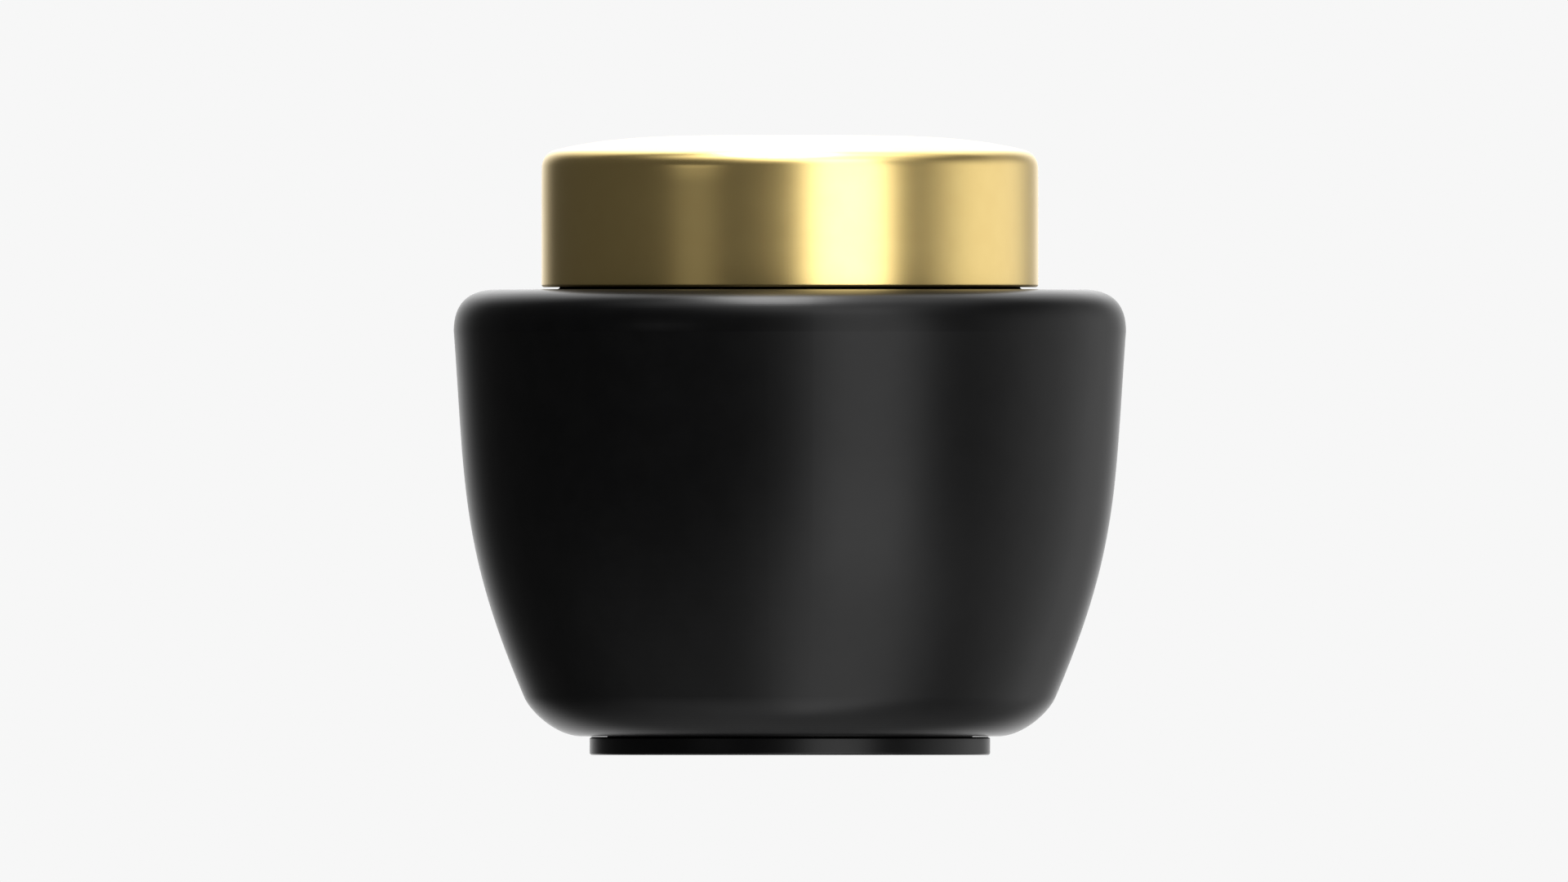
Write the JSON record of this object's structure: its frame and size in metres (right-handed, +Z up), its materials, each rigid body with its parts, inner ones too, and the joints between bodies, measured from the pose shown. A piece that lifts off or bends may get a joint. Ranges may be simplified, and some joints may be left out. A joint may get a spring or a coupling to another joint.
{
  "type": "cosmetic cream jar",
  "caption": "Round double-wall cream jar with a glossy black body on a small foot, a white inner cup with a sealing disc, and a satin gold screw lid that unscrews and lifts off.",
  "frame": {"origin": "centre of the foot's underside, on the jar's axis", "axes": "+Z up along the jar's axis, towards the lid; -Y is the front, and the shape is the same from every side"},
  "size_m": [0.072, 0.072, 0.0663],
  "materials": {
    "jar_black": "satin",
    "cup_white": "satin",
    "foot_black": "satin",
    "base_steel": "satin",
    "disc_white": "satin",
    "wad_foam": "matte",
    "cap_black": "satin",
    "lid_steel": "satin",
    "lid_gold": "satin"
  },
  "bodies": {
    "jar": {"outer_jar": "jar_black", "inner_cup": "cup_white", "base_plug": "foot_black", "base_weight": "base_steel"},
    "disc": {"sealing_disc": "disc_white"},
    "wad": {"lid_wad": "wad_foam"},
    "lid": {"inner_cap": "cap_black", "lid_plate": "lid_steel", "lid_overshell": "lid_gold"}
  },
  "joints": [
    {"name": "lid_turn", "type": "hinge", "parent": "wad", "child": "lid", "pos_m": [0, 0, 0.05], "axis": [0, 0, 1], "range_deg": [0, 600]},
    {"name": "lid_lift", "type": "slide", "parent": "jar", "child": "wad", "axis": [0, 0, 1], "range_m": [0, 0.01412]},
    {"name": "disc_lift", "type": "slide", "parent": "jar", "child": "disc", "axis": [0, 0, 1], "range_m": [0, 0.00706]}
  ],
  "couplings": [
    {"joint": "lid_lift", "follows": "lid_turn", "m_per_rad": 0.0013474},
    {"joint": "disc_lift", "follows": "lid_turn", "m_per_rad": 0.0006737}
  ]
}
